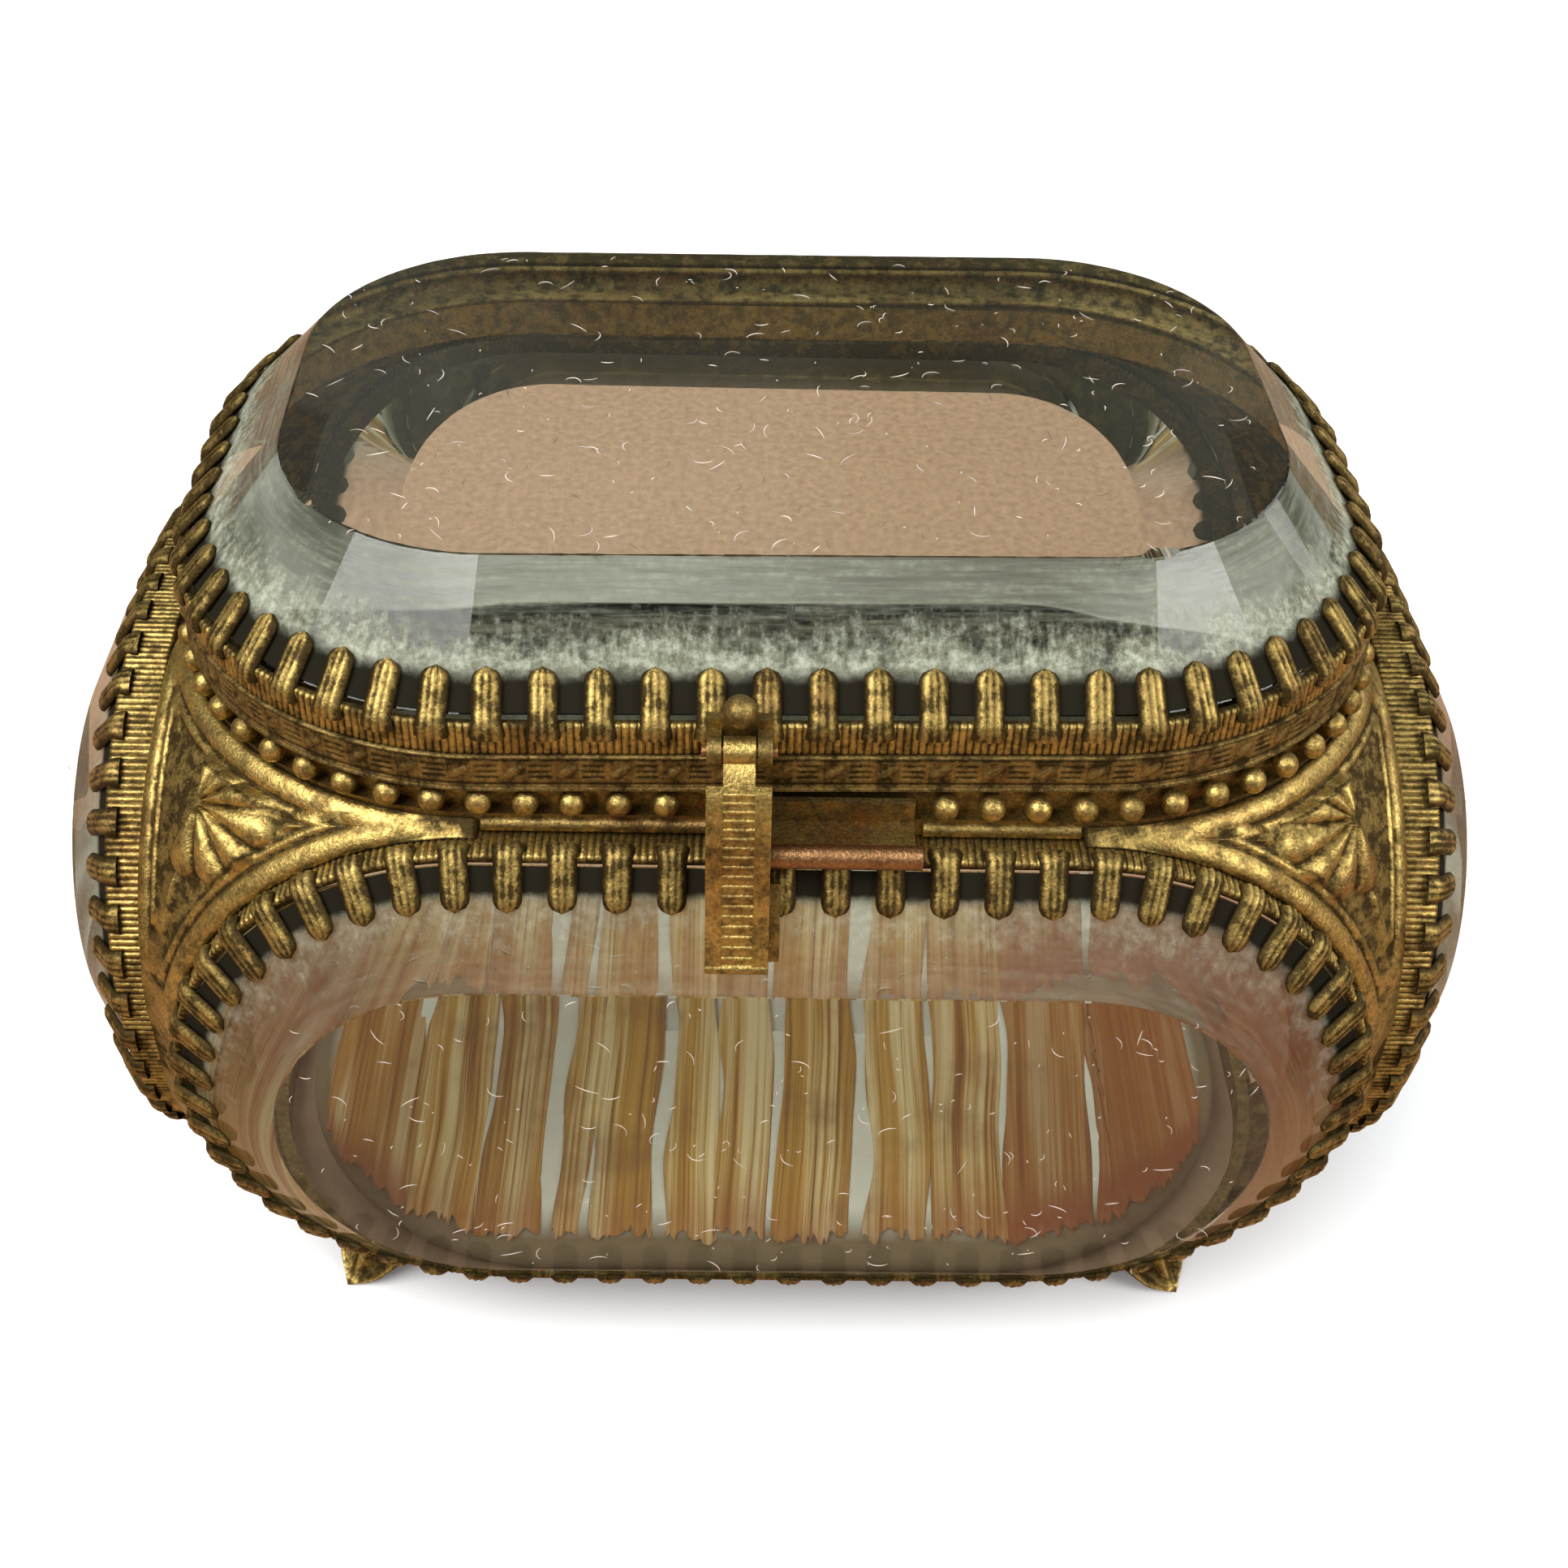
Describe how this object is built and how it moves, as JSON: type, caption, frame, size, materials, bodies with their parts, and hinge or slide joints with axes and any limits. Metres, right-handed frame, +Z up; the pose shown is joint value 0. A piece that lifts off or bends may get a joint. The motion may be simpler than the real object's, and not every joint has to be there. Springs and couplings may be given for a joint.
{
  "type": "glass jewellery casket",
  "caption": "Small hinged casket of thick bevelled glass held by claws in ribbed gilt brass collets, with stamped corners, splayed feet, a spring clasp and a split silk cushion inside.",
  "frame": {"origin": "on the table, under the middle of the casket's four feet", "axes": "+X along the casket's length to the right, -Y the front with the clasp, +Z up"},
  "size_m": [0.1098, 0.0758, 0.0745],
  "materials": {
    "gilt_brass": "aged gilding, dark patina in the recesses, worn high spots",
    "worn_brass": "dull gilding with dark and reddish-brown wear",
    "coppery_brass": "bare coppery metal, lightly scratched",
    "bevelled_glass": "thick clear glass, faintly grey-green, dusty, with ground bevels",
    "gold_silk": "old gold satin silk, split along its threads",
    "wadding": "off-white cotton wadding"
  },
  "bodies": {
    "casket": {"front_glass": "bevelled_glass", "back_glass": "bevelled_glass", "left_glass": "bevelled_glass", "right_glass": "bevelled_glass", "front_collet": "gilt_brass", "back_collet": "gilt_brass", "left_collet": "gilt_brass", "right_collet": "gilt_brass", "corner_upper_front_left": "gilt_brass", "corner_upper_front_right": "gilt_brass", "corner_upper_back_left": "gilt_brass", "corner_upper_back_right": "gilt_brass", "corner_lower_front_left": "gilt_brass", "corner_lower_front_right": "gilt_brass", "corner_lower_back_left": "gilt_brass", "corner_lower_back_right": "gilt_brass", "top_rim": "worn_brass", "bead_row": "gilt_brass", "base_ring": "worn_brass", "base_plate": "worn_brass", "cushion_pad": "wadding", "silk_cover": "gold_silk", "foot_front_left": "gilt_brass", "foot_front_right": "gilt_brass", "foot_back_left": "gilt_brass", "foot_back_right": "gilt_brass", "hinge_leaf_body": "worn_brass", "hinge_pin": "gilt_brass", "catch_plate": "worn_brass", "catch_bar": "coppery_brass"},
    "lid": {"lid_frame": "worn_brass", "lid_collet": "gilt_brass", "lid_glass": "bevelled_glass", "hinge_leaf_lid": "worn_brass", "clasp_lug": "worn_brass", "clasp_pin": "coppery_brass"},
    "clasp": {"clasp_strap": "gilt_brass", "clasp_spring": "worn_brass"}
  },
  "joints": [
    {"name": "lid_hinge", "type": "hinge", "parent": "casket", "child": "lid", "pos_m": [0, 0.0319, 0.06085], "axis": [-1, 0, 0], "range_deg": [0, 100]},
    {"name": "clasp_swing", "type": "hinge", "parent": "lid", "child": "clasp", "pos_m": [-0.003, -0.0323, 0.0662], "axis": [-1, 0, 0], "range_deg": [0, 40]}
  ]
}
